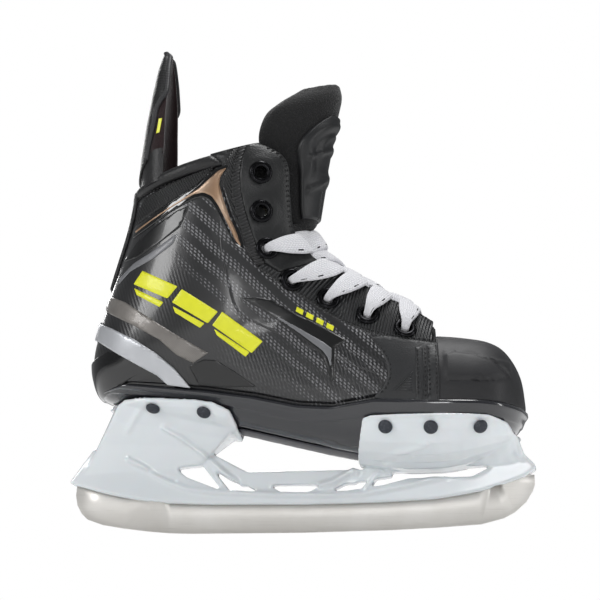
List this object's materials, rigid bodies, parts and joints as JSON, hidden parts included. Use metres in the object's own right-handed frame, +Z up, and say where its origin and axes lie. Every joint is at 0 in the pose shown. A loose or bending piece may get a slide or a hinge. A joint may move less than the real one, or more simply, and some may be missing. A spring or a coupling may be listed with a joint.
{
  "type": "ice hockey skate",
  "caption": "Youth ice hockey skate for the right foot: padded laced boot with tongue and tendon guard on a white blade holder with a steel runner.",
  "frame": {"origin": "middle of the footprint at the lowest point of the steel runner", "axes": "+X towards the toe, +Y towards the inner side of the foot, +Z up"},
  "size_m": [0.21, 0.0752, 0.219],
  "materials": {
    "steel": "satin ground steel",
    "zinc": "zinc plated",
    "holder_plastic": "glossy white nylon",
    "rivet": "dark painted steel",
    "washer": "dull",
    "outsole_plastic": "semi-gloss moulded",
    "board": "pressed fibreboard",
    "footbed_felt": "felted foam",
    "quarter_weave": "woven composite under clear film",
    "gloss_black": "high gloss film",
    "toe_plastic": "matte moulded",
    "lining_felt": "brushed fabric",
    "collar_vinyl": "soft vinyl",
    "foam": "open foam",
    "facing_vinyl": "matte vinyl",
    "eyelet_metal": "black lacquer",
    "tongue_felt": "thick felt",
    "guard_plastic": "moulded soft plastic",
    "guard_fabric": "vinyl over stiff plastic",
    "maroon_lining": "brushed fabric",
    "lace_white": "flat woven lace",
    "tie_rubber": "matte",
    "aglet_plastic": "hard film"
  },
  "bodies": {
    "boot": {"runner": "steel", "runner_bolts": "zinc", "holder": "holder_plastic", "rivets_front": "rivet", "rivets_rear": "rivet", "rivet_washers": "washer", "outsole": "outsole_plastic", "lasting_board": "board", "footbed": "footbed_felt", "quarter_lateral": "quarter_weave", "quarter_medial": "quarter_weave", "heel_overlay_lateral": "gloss_black", "heel_overlay_medial": "gloss_black", "toe_cap": "toe_plastic", "toe_lining": "lining_felt", "collar": "collar_vinyl", "ankle_foam_lateral": "foam", "ankle_foam_medial": "foam", "liner_lateral": "lining_felt", "liner_medial": "lining_felt", "facing_lateral": "facing_vinyl", "facing_medial": "facing_vinyl", "eyelets_lateral": "eyelet_metal", "eyelets_medial": "eyelet_metal", "tongue_base": "tongue_felt", "lace": "lace_white", "lace_tail_lateral": "lace_white", "lace_tail_medial": "lace_white", "lace_hank_lateral": "lace_white", "lace_hank_medial": "lace_white", "hank_tie_lateral": "tie_rubber", "hank_tie_medial": "tie_rubber", "aglet_lateral": "aglet_plastic", "aglet_medial": "aglet_plastic"},
    "tongue_top": {"tongue_felt": "tongue_felt", "tongue_guard": "guard_plastic"},
    "tendon": {"tendon_guard": "guard_fabric", "tendon_guard_lining": "maroon_lining"}
  },
  "joints": [
    {"name": "tongue_flex", "type": "hinge", "parent": "boot", "child": "tongue_top", "pos_m": [0.0045, 0, 0.1372], "axis": [0, 1, 0], "range_deg": [-3, 30], "stiffness_Nm_per_rad": 0.15},
    {"name": "tendon_guard_flex", "type": "hinge", "parent": "boot", "child": "tendon", "pos_m": [-0.0745, 0, 0.1575], "axis": [0, 1, 0], "range_deg": [-25, 5], "stiffness_Nm_per_rad": 0.4}
  ]
}
